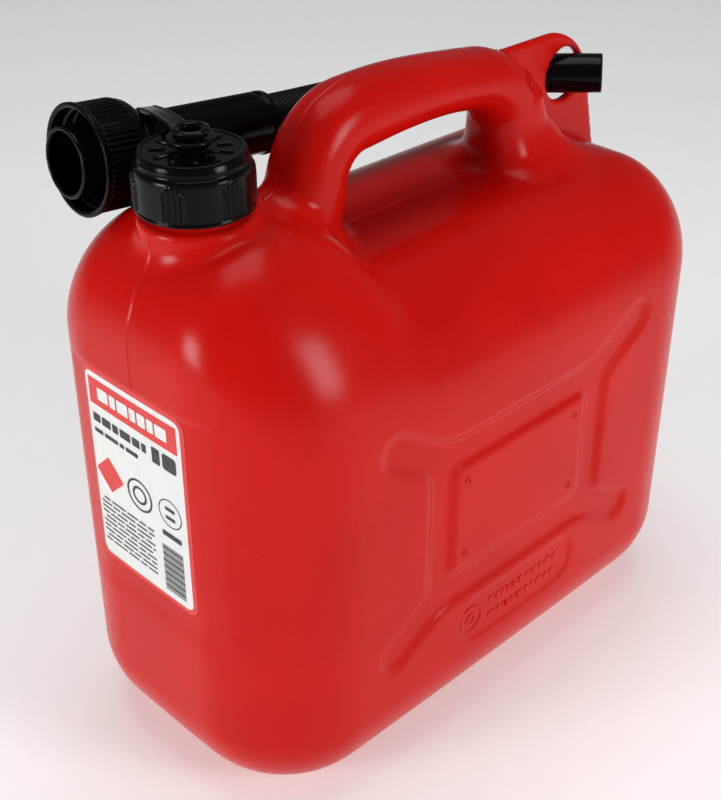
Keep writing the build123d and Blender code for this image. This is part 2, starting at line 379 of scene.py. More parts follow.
def oval_bar(in_plane, y, half_h, half_w):
    """A bar round a line in the plane of symmetry, with a slightly squared oval section."""
    powers = (in_plane / half_h) ** OVAL_POWER + (np.abs(y) / half_w) ** OVAL_POWER
    size = powers ** (1 / OVAL_POWER)
    return (size - 1) * np.minimum(half_h, half_w)


def handle(x, y, z):
    """The grip, the rear leg and the wedge between leg and ear. Its feet are wider than its top."""
    grip = line_distance(x, z, bent_line(GRIP_PATH, GRIP_BENDS))
    leg = line_distance(x, z, bent_line(LEG_PATH, LEG_BENDS))
    wedge = bar(x, z, *WEDGE, 0)
    in_plane = np.minimum(np.minimum(grip, leg), wedge)
    flare = 1 + REAR_FLARE * rise(z, 268, 242) * rise(x, 20, 40)
    rearward = rise(x, -40, 40)
    foot_gain = mix(FRONT_FOOT_GAIN, REAR_FOOT_GAIN, rearward) * rise(z, 288, 260)
    half_h = mix(FRONT_HALF_H, REAR_HALF_H, rearward) + foot_gain
    return oval_bar(in_plane, y / flare, half_h, GRIP_HALF_W)


def ear(x, y, z):
    """The plate of the ear, with a level top and a slanted rear edge."""
    slant = np.array(EAR_SLANT) / np.hypot(*EAR_SLANT)
    behind = (x - EAR_REAR[0]) * slant[0] + (z - EAR_REAR[1]) * slant[1]
    outline = overlap(z - EAR_TOP_Z, behind, EAR_ROUND_R)
    outline = np.maximum(outline, np.maximum(EAR_FRONT_X - x, EAR_FOOT_Z - z))
    return overlap(outline, np.abs(y) - EAR_T / 2, 1.3)


def panel_sink(x, y, z):
    """How far the broad sides' moulded panel lies below the wall."""
    mid_z = (FRAME_Z[0] + FRAME_Z[1]) / 2
    half_z = (FRAME_Z[1] - FRAME_Z[0]) / 2
    groove = rectangle(x, z - mid_z, FRAME_HALF_X, half_z, FRAME_CORNER_R)
    for sign in (-1, 1):
        for (inner_x, inner_z), (outer_x, outer_z) in (UPPER_ARM, LOWER_ARM):
            arm = bar(x, z, (sign * inner_x, inner_z), (sign * outer_x, outer_z), ARM_R)
            groove = join(groove, arm, 4)
    mid_z = (PLATEAU_Z[0] + PLATEAU_Z[1]) / 2
    half_z = (PLATEAU_Z[1] - PLATEAU_Z[0]) / 2
    plateau = rectangle(x, z - mid_z, PLATEAU_HALF_X, half_z, PLATEAU_CORNER_R)
    frame_share = smooth(-groove / PANEL_SLOPE + 0.3) * smooth(plateau / PANEL_SLOPE)
    plate = rectangle(x - PLATE_X, z - PLATE_Z, PLATE_HALF_X, PLATE_HALF_Z, PLATE_CORNER_R)
    sunk = PANEL_DEPTH * frame_share + PLATE_DEPTH * smooth(-plate / PLATE_SLOPE)
    return sunk * rise(np.abs(y), 50, 70)


def label_ledge(x, y, z):
    """How far the label's shallow field lies below the front wall."""
    edge_z = LEDGE_Z + 0.04 * np.maximum(-y - 20, 0)
    below = smooth((edge_z - z) / LEDGE_SLOPE)
    return LEDGE_DEPTH * below * rise(z, 88, 102) * rise(np.abs(y), 50, 41) * (x < -100)


def neck(x, y, z):
    """The plain outside of the neck."""
    radius = np.hypot(x - NECK_X, y - NECK_Y)
    return np.maximum(overlap(radius - NECK_R, z - NECK_TOP_Z, 0.8), NECK_FOOT_Z - z)


def shell(x, y, z):
    """The whole blow moulding. Only the neck is hollow: its bore ends below the seat."""
    body = tank(x, y, z)
    radius = np.hypot(x - NECK_X, y - NECK_Y)
    seat = np.maximum(overlap(radius - SEAT_R, z - SEAT_TOP_Z, 2.5), SEAT_FOOT_Z - z)
    body = join(body, seat, 5)
    body = join(body, handle(x, y, z), 11)
    body = join(body, ear(x, y, z), 2.5)
    body = body + panel_sink(x, y, z) + label_ledge(x, y, z)
    hole = EAR_HOLE_R - np.hypot(x - EAR_HOLE[0], z - EAR_HOLE[1])
    body = overlap(body, np.where(np.abs(y) < 12, hole, -50.0), 0.8)
    body = np.minimum(body, neck(x, y, z))
    bore = np.minimum(NECK_BORE_R - radius, z - NECK_BORE_END_Z)
    return np.maximum(body, bore)


# --- meshes -------------------------------------------------------------------------------------
def slopes(field, points, reach=0.05):
    """Value and gradient of a field at points."""
    gradient = np.empty_like(points)
    for axis in range(3):
        ahead, behind = points.copy(), points.copy()
        ahead[:, axis] += reach
        behind[:, axis] -= reach
        gradient[:, axis] = (field(*ahead.T) - field(*behind.T)) / (2 * reach)
    return field(*points.T), gradient


def settle(field, points, rounds, most, level=0.0):
    """Points moved onto the surface where the field has the given level."""
    for _ in range(rounds):
        value, gradient = slopes(field, points)
        size = np.maximum((gradient ** 2).sum(axis=1), 0.05)
        move = -((value - level) / size)[:, None] * gradient
        length = np.maximum(np.linalg.norm(move, axis=1), 1e-9)
        points = points + move * np.minimum(1, most / length)[:, None]
    return points


def relax(points, quads):
    """Each point moved half way to the middle of its neighbours."""
    total = np.zeros_like(points)
    count = np.zeros(len(points))
    for k in range(4):
        here, there = quads[:, k], quads[:, (k + 1) % 4]
        for a, b in ((here, there), (there, here)):
            for axis in range(3):
                total[:, axis] += np.bincount(a, points[b, axis], len(points))
            count += np.bincount(a, minlength=len(points))
    return (points + total / np.maximum(count, 1)[:, None]) / 2


def surface(field, low, high, step):
    """Points and quads of the surface where a field is zero, one point to a grid cell."""
    low, high = np.array(low, float), np.array(high, float)
    counts = np.ceil((high - low) / step).astype(int) + 1
    xs, ys, zs = (low[i] + step * np.arange(counts[i]) for i in range(3))
    values = field(xs[:, None, None], ys[None, :, None], zs[None, None, :])
    values = np.broadcast_to(values, counts)
    inside = values < 0
    corners = [(a, b, c) for a in (0, 1) for b in (0, 1) for c in (0, 1)]
    shape = counts - 1

    def corner(array, a, b, c):
        """The array's values at one corner of every cell."""
        return array[a:a + shape[0], b:b + shape[1], c:c + shape[2]]

    filled = sum(corner(inside, *k).astype(np.int8) for k in corners)
    cells = np.argwhere((filled > 0) & (filled < 8))
    at_corner = {k: values[tuple((cells + k).T)] for k in corners}
    total, count = np.zeros((len(cells), 3)), np.zeros(len(cells))
    for k in corners:
        for axis in range(3):
            if k[axis]:
                continue
            other = tuple(1 if i == axis else k[i] for i in range(3))
            start, end = at_corner[k], at_corner[other]
            crossed = (start < 0) != (end < 0)
            part = np.where(crossed, start / np.where(crossed, start - end, 1), 0)
            for i in range(3):
                place = k[i] + (part if i == axis else 0)
                total[:, i] += np.where(crossed, place, 0)
            count += crossed
    points = low + step * (cells + total / count[:, None])
    number = np.full(shape, -1)
    number[tuple(cells.T)] = np.arange(len(cells))
    quads = []
    for axis in range(3):
        u, v = (axis + 1) % 3, (axis + 2) % 3
        change = np.diff(inside.astype(np.int8), axis=axis)
        edges = np.argwhere(change != 0)
        edges = edges[(edges[:, u] > 0) & (edges[:, v] > 0)]
        edges = edges[(edges[:, u] < shape[u]) & (edges[:, v] < shape[v])]
        step_u, step_v = np.eye(3, dtype=int)[u], np.eye(3, dtype=int)[v]
        ring = [edges - step_u - step_v, edges - step_v, edges, edges - step_u]
        quad = np.stack([number[tuple(cell.T)] for cell in ring], axis=1)
        outward = change[tuple(edges.T)] > 0
        quad[outward] = quad[outward][:, ::-1]
        quads.append(quad)
    return points, np.concatenate(quads)


def make_object(name, parts, material, body, nodes):
    """One object of (points, faces) parts in millimetres, riding on a CAD body if one is given."""
    points, faces, start = [], [], 0
    for part_points, part_faces in parts:
        points.extend((np.asarray(part_points) / 1000).tolist())
        faces.extend([[start + i for i in face] for face in np.asarray(part_faces).tolist()])
        start += len(part_points)
    mesh = bpy.data.meshes.new(name)
    mesh.from_pydata(points, [], faces)
    mesh.shade_smooth()
    mesh.materials.append(material)
    thing = bpy.data.objects.new(name, mesh)
    bpy.context.collection.objects.link(thing)
    if body:
        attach(thing, body)
    if nodes:
        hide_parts(*nodes)
    return thing


def carved(field, low, high, step, relaxing):
    """The mesh of a field's surface, with its points evened out the given number of times."""
    points, quads = surface(field, low, high, step)
    points = settle(field, points, 3, step)
    for _ in range(relaxing):
        points = settle(field, relax(points, quads), 2, step)
    return points, quads


def across(axis):
    """Two directions square to an axis and to each other; the second is the one nearer to up."""
    side = np.cross((0.0, 0.0, 1.0), axis)
    if np.linalg.norm(side) < 1e-6:
        return np.array([1.0, 0, 0]), np.array([0, 1.0, 0])
    side /= np.linalg.norm(side)
    return side, np.cross(axis, side)


def ring_faces(rings, sides, closed):
    """Quads of a tube of rings with the given number of sides."""
    ring, side = np.meshgrid(np.arange(rings if closed else rings - 1), np.arange(sides))
    ring, side = ring.ravel(), side.ravel()
    following, beside = (ring + 1) % rings, (side + 1) % sides
    corners = (ring * sides + side, ring * sides + beside,
               following * sides + beside, following * sides + side)
    return np.stack(corners, axis=1)


def eased(profile, r):
    """A closed profile with all its corners rounded."""
    profile = [np.array(point, float) for point in profile]
    line = []
    for i, corner in enumerate(profile):
        before, after = profile[i - 1] - corner, profile[(i + 1) % len(profile)] - corner
        long_before, long_after = np.linalg.norm(before), np.linalg.norm(after)
        reach_before = min(r, long_before * 0.4) / long_before
        reach_after = min(r, long_after * 0.4) / long_after
        start, end = corner + before * reach_before, corner + after * reach_after
        for t in (0.0, 0.33, 0.67, 1.0):
            line.append(start * (1 - t) ** 2 + corner * 2 * t * (1 - t) + end * t * t)
    return line


def turned(profile, origin, axis, sides, relief):
    """A closed profile of (radius, height) swept round an axis, with a radial relief."""
    side, up = across(axis)
    angle = np.linspace(0, 2 * math.pi, sides, endpoint=False)[None, :]
    radius, height = (np.repeat(row[:, None], sides, axis=1) for row in np.array(profile, float).T)
    radius = radius + relief(angle, radius, height)
    spokes = np.cos(angle)[..., None] * side + np.sin(angle)[..., None] * up
    points = np.array(origin, float) + radius[..., None] * spokes
    points = points + height[..., None] * np.array(axis, float)
    return points.reshape(-1, 3), ring_faces(len(profile), sides, True)


def walk(line, step):
    """Even steps along a line of points, with the direction at each."""
    line = np.array(line, float)
    run = np.concatenate([[0], np.cumsum(np.linalg.norm(np.diff(line, axis=0), axis=1))])
    places = np.linspace(0, run[-1], int(round(run[-1] / step)) + 1)
    points = np.stack([np.interp(places, run, line[:, i]) for i in range(3)], axis=1)
    ahead = np.gradient(points, axis=0)
    return places, points, ahead / np.linalg.norm(ahead, axis=1)[:, None]


def columns(us, lows, highs, rows, place):
    """A patch between a low and a high line over the places us, put on a surface by place(u, v)."""
    us = np.array(us, float)
    share = np.linspace(0, 1, rows + 1)[None, :]
    lows, highs = np.array(lows)[:, None], np.array(highs)[:, None]
    v = lows + (highs - lows) * share
    u = np.repeat(us[:, None], rows + 1, axis=1)
    points = place(u.ravel(), v.ravel())
    i, j = np.meshgrid(np.arange(len(us) - 1), np.arange(rows))
    first = (i * (rows + 1) + j).ravel()
    return points, np.stack([first, first + rows + 1, first + rows + 2, first + 1], axis=1)


def pad(us, lows, highs, surface_at, low, high):
    """A raised or printed shape with a rim, from the level low to the level high of a surface."""
    us, lows, highs = (np.array(values, float) for values in (us, lows, highs))
    round_u = np.concatenate([us, us[::-1]])
    round_v = np.concatenate([lows, highs[::-1]])
    rim = np.concatenate([surface_at(round_u, round_v, level) for level in (low, high)])
    top = columns(us, lows, highs, 2, lambda u, v: surface_at(u, v, high))
    return [(rim, ring_faces(2, len(round_u), False)), top]


def block_shape(u0, u1, v0, v1, r=0.0):
    """Columns of a rectangle with round corners."""
    bends = [r * (1 - math.cos(math.radians(a))) for a in range(0, 91, 15)] if r > 0 else []
    middle = np.linspace(u0 + r, u1 - r, max(2, int((u1 - u0 - 2 * r) / 2.0) + 2))
    us = np.unique(np.concatenate([[u0 + b for b in bends], middle, [u1 - b for b in bends]]))
    inset = np.maximum(r - np.minimum(us - u0, u1 - us), 0)
    sag = r - np.sqrt(np.maximum(r * r - inset * inset, 0))
    return us, v0 + sag, v1 - sag


def ring_shapes(u, v, r, width):
    """Columns of a flat ring, as an upper and a lower half."""
    shapes = []
    for sign in (1, -1):
        us = u + r * np.cos(np.radians(np.arange(180, -1, -6)))
        outer = np.sqrt(np.maximum(r * r - (us - u) ** 2, 0))
        inner = np.sqrt(np.maximum((r - width) ** 2 - (us - u) ** 2, 0))
        lows, highs = (inner, outer) if sign > 0 else (-outer, -inner)
        shapes.append((us, v + lows, v + highs))
    return shapes


# --- materials ----------------------------------------------------------------------------------
def new_material(name, colour, roughness):
    """A plain shader with its name and even finish, and its node tree for more."""
    material = bpy.data.materials.new(name)
    material.use_nodes = True
    nodes = material.node_tree.nodes
    shader = nodes["Principled BSDF"]
    shader.inputs["Base Color"].default_value = (*colour, 1)
    shader.inputs["Roughness"].default_value = roughness
    return material, nodes, material.node_tree.links, shader


def noise(nodes, links, scale, detail=3.0):
    """A noise texture on the piece's own coordinates."""
    place = nodes.new("ShaderNodeTexCoord")
    texture = nodes.new("ShaderNodeTexNoise")
    texture.inputs["Scale"].default_value = scale
    texture.inputs["Detail"].default_value = detail
    links.new(place.outputs["Object"], texture.inputs["Vector"])
    return texture.outputs["Fac"]


def ramp(nodes, links, source, low, high, start, end):
    """The source's range from start to end turned into low to high."""
    change = nodes.new("ShaderNodeMapRange")
    change.inputs["From Min"].default_value = start
    change.inputs["From Max"].default_value = end
    change.inputs["To Min"].default_value = low
    change.inputs["To Max"].default_value = high
    links.new(source, change.inputs["Value"])
    return change.outputs["Result"]


def tint(nodes, links, source, low, high):
    """Two colours mixed by a source."""
    colours = nodes.new("ShaderNodeValToRGB")
    colours.color_ramp.elements[0].position = 0.35
    colours.color_ramp.elements[0].color = (*low, 1)
    colours.color_ramp.elements[1].position = 0.65
    colours.color_ramp.elements[1].color = (*high, 1)
    links.new(source, colours.inputs["Fac"])
    return colours.outputs["Color"]


def grain(nodes, links, shader, sources, distance):
    """Fine relief from several (source, strength) pairs."""
    normal = None
    for source, strength in sources:
        bump = nodes.new("ShaderNodeBump")
        bump.inputs["Strength"].default_value = strength
        bump.inputs["Distance"].default_value = distance
        links.new(source, bump.inputs["Height"])
        if normal:
            links.new(normal, bump.inputs["Normal"])
        normal = bump.outputs["Normal"]
    links.new(normal, shader.inputs["Normal"])


def red_plastic():
    """The can: saturated red polyethylene, faintly cloudy, with a fine grain."""
    material, nodes, links, shader = new_material("red_polyethylene", (0.6, 0.005, 0.003), 0.35)
    shader.inputs["Specular IOR Level"].default_value = 0.15
    cloudy = noise(nodes, links, 14, 2)
    colour = tint(nodes, links, cloudy, (0.57, 0.004, 0.002), (0.63, 0.006, 0.003))
    links.new(colour, shader.inputs["Base Color"])
    fine = noise(nodes, links, 900, 2)
    links.new(ramp(nodes, links, fine, 0.22, 0.28, 0.3, 0.7), shader.inputs["Roughness"])
    grain(nodes, links, shader, ((fine, 0.03), (cloudy, 0.25)), 0.0004)
    return material


def black_plastic():
    """The moulded fittings: glossy black plastic."""
    material, nodes, links, shader = new_material("black_moulding", (0.002, 0.002, 0.0025), 0.16)
    shader.inputs["Specular IOR Level"].default_value = 0.13
    fine = noise(nodes, links, 1100, 3)
    links.new(ramp(nodes, links, fine, 0.13, 0.2, 0.3, 0.7), shader.inputs["Roughness"])
    grain(nodes, links, shader, ((fine, 0.1),), 0.0004)
    return material


def floor_paper():
    """Pale paper. A weak glow of its own keeps it as light as the photo's background."""
    material, nodes, links, shader = new_material("floor_paper", (0.86, 0.86, 0.86), 0.9)
    fine = noise(nodes, links, 60, 3)
    colour = tint(nodes, links, fine, (0.85, 0.85, 0.85), (0.87, 0.87, 0.87))
    links.new(colour, shader.inputs["Base Color"])
    shader.inputs["Emission Color"].default_value = (1.0, 1.0, 1.0, 1)
    shader.inputs["Emission Strength"].default_value = FLOOR_GLOW
    return material


def hose_plastic():
    """The hose: softer black plastic with a satin finish."""
    material, nodes, links, shader = new_material("black_hose", (0.003, 0.003, 0.004), 0.33)
    shader.inputs["Specular IOR Level"].default_value = 0.25
    fine = noise(nodes, links, 1300, 2)
    links.new(ramp(nodes, links, fine, 0.28, 0.4, 0.3, 0.7), shader.inputs["Roughness"])
    grain(nodes, links, shader, ((fine, 0.15),), 0.0003)
    return material


def printed(name, low, high):
    """Printed film with a slightly uneven ink and a low gloss."""
    material, nodes, links, shader = new_material(name, high, 0.45)
    links.new(tint(nodes, links, noise(nodes, links, 120, 3), low, high), shader.inputs["Base Color"])
    fine = noise(nodes, links, 1500, 2)
    links.new(ramp(nodes, links, fine, 0.4, 0.5, 0.3, 0.7), shader.inputs["Roughness"])
    grain(nodes, links, shader, ((fine, 0.05),), 0.0002)
    return material


def seal_rubber():
    """The cap's seal and the spout's gasket: dark matte rubber."""
    material, nodes, links, shader = new_material("seal_rubber", (0.035, 0.035, 0.036), 0.75)
    fine = noise(nodes, links, 700, 3)
    links.new(ramp(nodes, links, fine, 0.68, 0.84, 0.3, 0.7), shader.inputs["Roughness"])
    grain(nodes, links, shader, ((fine, 0.2),), 0.0003)
    return material


RED = red_plastic()
BLACK = black_plastic()
HOSE = hose_plastic()
RUBBER = seal_rubber()
PAPER = printed("label_white", (0.80, 0.80, 0.79), (0.84, 0.84, 0.83))
INK_RED = printed("label_red", (0.72, 0.028, 0.028), (0.78, 0.034, 0.032))
INK_BLACK = printed("label_black", (0.018, 0.018, 0.02), (0.03, 0.03, 0.032))


# --- pieces -------------------------------------------------------------------------------------
def make_can_body():
    """The blow moulding, carved with a margin round the CAD's box so that no side is cut off."""
    low, high = SHELL_LOW - 4.3, SHELL_HIGH + 4.7
    shape = carved(shell, low, high, 1.6, 2)
    return make_object("can_shell", [shape], RED, "can", ["can_body"])


def cap_ribs(angle, radius, height):
    """Six groups of ridges on the skirt; the middle ones of a group reach higher."""
    period = 2 * math.pi / RIB_GROUPS
    off = (angle - RIB_START + period / 2) % period - period / 2
    ridge = 0.5 + 0.5 * np.cos(2 * math.pi * off / RIB_STEP)
    half_group = RIBS_PER_GROUP * RIB_STEP / 2
    ridge = np.where(np.abs(off) < half_group, ridge, 0)
    top = RIB_TOP_Z - RIB_ARCH * (off / half_group) ** 2
    upright = smooth((top - height) / 1.2) * smooth((height - RIB_FOOT_Z) / 0.8)
    return RIB_HEIGHT * ridge ** 0.7 * upright * (radius > CAP_R - 0.5)


def cap_bars():
    """Raised strokes round the boss on the cap's top."""
    parts = []
    levels = ((3.4, 1.1, 304.2), (3.4, 1.1, 305.0), (3.1, 0.8, 305.3), (0.4, 0.1, 305.32))
    for k in range(CAP_BARS):
        turn = math.radians(k * 360 / CAP_BARS + CAP_BAR_TURN)
        along = np.array([math.cos(turn), math.sin(turn), 0])
        sideways = np.array([-along[1], along[0], 0])
        middle = np.array([NECK_X, NECK_Y, 0]) + along * CAP_BAR_R
        rings = []
        for half_l, half_w, z in levels:
            for step in range(16):
                a = 2 * math.pi * step / 16
                squarish = [math.copysign(abs(c) ** 0.5, c) for c in (math.cos(a), math.sin(a))]
                spot = middle + along * half_l * squarish[0] + sideways * half_w * squarish[1]
                rings.append(spot + np.array([0, 0, z]))
        parts.append((np.array(rings), ring_faces(len(levels), 16, False)))
    return parts


def finer_skirt(profile):
    """The profile with more rows on the skirt's outside, where the ribs are."""
    rows = []
    for point, following in zip(profile, profile[1:] + profile[:1]):
        count = 1
        if min(point[0], following[0]) > CAP_R - 0.6:
            count = max(1, int(np.linalg.norm(following - point) / CAP_ROW_H))
        rows.extend(point + (following - point) * k / count for k in range(count))
    return rows


def make_cap():
    """The screw cap: skirt, roof and hollow boss as one turned profile, from the skirt's foot."""
    profile = [(CAP_BORE_R, 281.0), (24.3, 281.0), (24.45, 281.9), (24.0, 282.6), (CAP_R, 290.0),
               (CAP_R, 297.4), (23.75, 298.8), (23.0, 299.6), (22.5, 299.9), (22.3, 301.6),
               (22.6, 302.0), (22.3, 302.5), (21.7, 304.2), (21.2, 305.0), (20.2, 305.1),
               (19.7, 304.5), (8.2, 304.5), (7.4, 304.9), (6.8, 305.8), (5.7, 306.2), (5.4, 307.0),
               (5.4, 310.6), (6.2, 311.4), (7.5, 311.9), (7.5, 313.0), (6.2, 313.6), (4.9, 313.2),
               (3.9, 312.2), (3.9, 306.0), (0.05, 306.0), (0.05, 302.6), (CAP_BORE_R, 302.6)]
    rows = finer_skirt(eased(profile, CAP_ROUND_R))
    body = turned(rows, (NECK_X, NECK_Y, 0), (0, 0, 1), CAP_SIDES, cap_ribs)
    return make_object("cap_moulding", [body] + cap_bars(), BLACK, "cap", ["cap"])


def collar_ribs(angle, radius, height):
    """Even ridges all round the union nut."""
    ridge = (0.5 + 0.5 * np.cos(COLLAR_RIBS * angle)) ** 0.7
    straight = smooth((height - 3.2) / 0.8) * smooth((20.6 - height) / 1.4)
    return COLLAR_RIB_HEIGHT * ridge * straight * (radius > COLLAR_R - 0.8)


def make_collar():
    """The union nut: rim, ribbed wall, a groove for the flange and two ridges for the neck's thread."""
    profile = [(21.5, 0.6), (22.6, 0.0), (COLLAR_RIM_R, 0.3), (COLLAR_RIM_R, 2.0), (23.2, 2.6)]
    profile += [(22.5, 3.0 + 0.7 * k) for k in range(26)]
    profile += [(22.4, 21.6), (21.9, 23.2), (21.0, 24.7), (19.6, 25.7), (18.0, 26.0),
                (13.95, 26.0), (13.95, 23.65), (19.4, 23.65), (19.4, 21.7), (21.5, 21.6),
                (21.5, 12.2), (20.4, 11.7), (20.4, 11.2), (21.5, 10.6),
                (21.5, 7.4), (20.4, 6.9), (20.4, 6.4), (21.5, 5.8)]
    body = turned(eased(profile, 0.3), SPOUT_AT, SPOUT_AXIS, COLLAR_RIBS * 12, collar_ribs)
    return make_object("union_nut", [body], BLACK, "collar", ["spout_collar"])


def spout_place(x, y, z):
    """Distance along the spout's axis, and sideways and upwards from it."""
    side, up = across(SPOUT_AXIS)
    apart = [x - SPOUT_AT[0], y - SPOUT_AT[1], z - SPOUT_AT[2]]
    return [sum(a * d for a, d in zip(apart, direction)) for direction in (SPOUT_AXIS, side, up)]


def spout_tube(x, y, z):
    """The rigid moulding: inlet tube, flange, neck, barrel, vent channel and end ring."""
    s, p, q = spout_place(x, y, z)
    r = np.hypot(p, q)
    inlet = overlap(r - INLET_R, np.abs(s - 8.5) - 14.0, 0.5)
    flange = overlap(r - FLANGE_R, np.abs(s - FLANGE_S - 1.2) - 1.2, 0.3)
    neck_part = overlap(r - SPOUT_NECK_R, np.abs(s - 30) - 9.5, 0.3)
    barrel = overlap(r - SPOUT_R, np.abs(s - 68.5) - 29.5, 0.8)
    end_ring = overlap(r - SPOUT_RING_R, np.abs(s - 96.2) - 1.8, 0.6)
    start, end = VENT_S
    vent_s = np.clip(s, start + VENT_R, end - VENT_R)
    vent_round = np.hypot(p, np.maximum(q - VENT_RISE, 0) + np.minimum(q - VENT_RISE, 0) * 0.3)
    vent = np.hypot(vent_round, np.maximum(s - vent_s, 0)) - VENT_R
    vent = np.maximum(np.maximum(vent, start - s), -q)
    solid = np.minimum(np.minimum(inlet, flange), np.minimum(neck_part, end_ring))
    solid = np.minimum(solid, join(barrel, vent, 0.9))
    bore_r = np.where(s < FLANGE_S + 0.5, INLET_R - 1.8, np.where(s > 88, HOSE_R + 0.2, SPOUT_BORE_R))
    return overlap(solid, bore_r - r, 0.4)


def make_spout_base():
    """The spout's rigid part."""
    low, high = node_box("spout_base")
    shape = carved(spout_tube, low - 1.3, high + 1.3, 0.62, 1)
    return make_object("spout_moulding", [shape], BLACK, "can", ["spout_base"])


def hose_ring(middle, ahead, r):
    """One ring of points square to the hose's line."""
    side, up = across(ahead)
    angle = np.linspace(0, 2 * math.pi, HOSE_SIDES, endpoint=False)[:, None]
    return middle + r * (np.cos(angle) * side + np.sin(angle) * up)


def make_hose():
    """The corrugated hose: grooved outside and plain bore, smooth where it is held at both ends."""
    start = SPOUT_AT + SPOUT_AXIS * HOSE_START_S
    end = TIP_AT - TIP_AXIS * HOSE_END
    bends = [SPOUT_AT + SPOUT_AXIS * HOSE_BEND_S, HOSE_MIDDLE, TIP_AT - TIP_AXIS * HOSE_TIP_BEND]
    line = bent_line([start, *bends, end], HOSE_BENDS, 60)
    run, points, ahead = walk(line, HOSE_PITCH / 8)
    groove = (0.5 - 0.5 * np.cos(2 * math.pi * run / HOSE_PITCH)) ** 1.3
    free = smooth((run - 8.5) / 2) * smooth((run[-1] - 1.0 - run) / 2)
    radius = HOSE_R - 0.05 - HOSE_GROOVE * groove * free - 0.3 * (1 - free)
    outside = [hose_ring(points[i], ahead[i], radius[i]) for i in range(len(run))]
    inside = [hose_ring(points[i], ahead[i], HOSE_BORE_R) for i in range(len(run) - 1, -1, -8)]
    rings = outside + inside
    body = (np.concatenate(rings), ring_faces(len(rings), HOSE_SIDES, True))
    return make_object("corrugated_hose", [body], HOSE, "can", ["spout_hose"])


def tip_nick(angle, radius, height):
    """The small nick in the tip's outer end."""
    near = np.exp(-((angle - NICK_ANGLE) / NICK_WIDTH) ** 2) * smooth((height - TIP_OUT + 1.4) / 1.2)
    return -NICK_DEPTH * near * (radius > TIP_BORE_R + 0.5)


def make_tip():
    """The smooth outlet tube through the ear, a little thinner towards its outer end."""
    heights = np.arange(-TIP_IN, TIP_OUT, 1.5)
    outside = [(TIP_R - TIP_TAPER * smooth((h - 8) / 10), h) for h in heights]
    end = [(TIP_R - TIP_TAPER, TIP_OUT - 0.9), (TIP_R - 0.3, TIP_OUT), (TIP_BORE_R, TIP_OUT)]
    profile = eased(outside + end + [(TIP_BORE_R, -TIP_IN)], 0.25)
    body = turned(profile, TIP_AT, TIP_AXIS, 128, tip_nick)
    return make_object("outlet_tube", [body], BLACK, "can", ["spout_tip"])


def tether(x, y, z):
    """The ring on the spout's neck, the arched strap with its raised edges, and the eye."""
    s, p, q = spout_place(x, y, z)
    r = np.hypot(p, q)
    ring = overlap(np.abs(r - RING_MID_R) - RING_HALF_T, np.abs(s - RING_S) - RING_L / 2, 0.5)
    reach = np.array([NECK_X - HINGE[0], NECK_Y - HINGE[1]])
    long = np.linalg.norm(reach)
    ahead = reach / long
    along = (x - HINGE[0]) * ahead[0] + (y - HINGE[1]) * ahead[1]
    aside = (x - HINGE[0]) * ahead[1] - (y - HINGE[1]) * ahead[0]
    t = np.clip((along + STRAP_ROOT) / (long - EYE_R - 1.0 + STRAP_ROOT), 0, 1)
    line_z = mix(STRAP_ROOT_Z, EYE_Z, 2 * t - t * t)
    edge = np.exp(-((np.abs(aside) - STRAP_HALF_W + 0.9) / 0.6) ** 2)
    half_t = STRAP_T / 2 + np.where(z > line_z, STRAP_EDGE * edge, 0)
    strap = overlap(np.abs(aside) - STRAP_HALF_W, np.abs(z - line_z) - half_t, 0.45)
    strap = np.maximum(strap, np.maximum(-STRAP_ROOT - along, along - long + EYE_R + 0.5))
    eye = np.hypot(x - NECK_X - EYE_SHIFT[0], y - NECK_Y - EYE_SHIFT[1])
    eye_ring = overlap(np.abs(eye - EYE_MID_R) - EYE_HALF_T, np.abs(z - EYE_Z) - STRAP_T / 2, 0.6)
    solid = join(ring, strap, 1.6)
    solid = join(solid, eye_ring, 1.0)
    solid = np.maximum(solid, 13.7 - r)
    return np.maximum(solid, EYE_R - eye)


def make_tether():
    """Ring, strap and eye as one flexible piece, on no body, with its transform baked into its points."""
    low, high = node_box("tether_ring", "tether_band")
    shape = carved(tether, low - 1.3, high + 1.3, 0.5, 1)
    nodes = ["tether_ring", "tether_band"]
    strap = make_object("tether_strap", [shape], BLACK, None, nodes)
    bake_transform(strap)
    return strap


def on_front(u, v, level):
    """Points of the front wall: u from left to right as seen, v above the label's lower edge."""
    across_front = LABEL_MID_Y - LABEL_STRETCH * u
    points = np.stack([np.full(len(u), -HALF_L), across_front, LABEL_LOW[2] + v], axis=1)
    return settle(lambda x, y, z: plan(x, y)[0] + label_ledge(x, y, z), points, 4, 10.0, level)


def make_label():
    """The film, its white field and its plain printed blocks, rings and strokes."""
    half_w, high = LABEL_HALF_W, LABEL_HIGH[2] - LABEL_LOW[2]
    film = pad(*block_shape(-half_w, half_w, 0, high, LABEL_CORNER_R), on_front, 0.0, FILM_LEVEL)
    label = make_object("label_film", film, INK_RED, "can", ["label"])
    white = block_shape(2.4 - half_w, half_w - 2.4, 2.4, high - 2.4, 4.0)
    field = columns(*white, 1, lambda u, v: on_front(u, v, FIELD_LEVEL))
    make_object("label_field", [field], PAPER, "can", ())
    header = block_shape(4.6 - half_w, half_w - 4.6, high - 18.6, high - 5.2, 0.6)
    red = [columns(*shape, 1, lambda u, v: on_front(u, v, PRINT_LEVEL))
           for shape in (header, diamond(-19.5, 49, 9.4))]
    make_object("label_red_print", red, INK_RED, "can", ())
    title = [block_shape(u, u + w, high - 15, high - 8.8, 0.8) for u, w in
             ((-22, 7), (-14, 4), (-9, 7), (-1, 4), (4, 5), (10, 4), (15, 7))]
    pale = [columns(*shape, 1, lambda u, v: on_front(u, v, TITLE_LEVEL)) for shape in title]
    make_object("label_title_blocks", pale, PAPER, "can", ())
    make_object("label_dark_print", dark_print(high), INK_BLACK, "can", ())
    return label


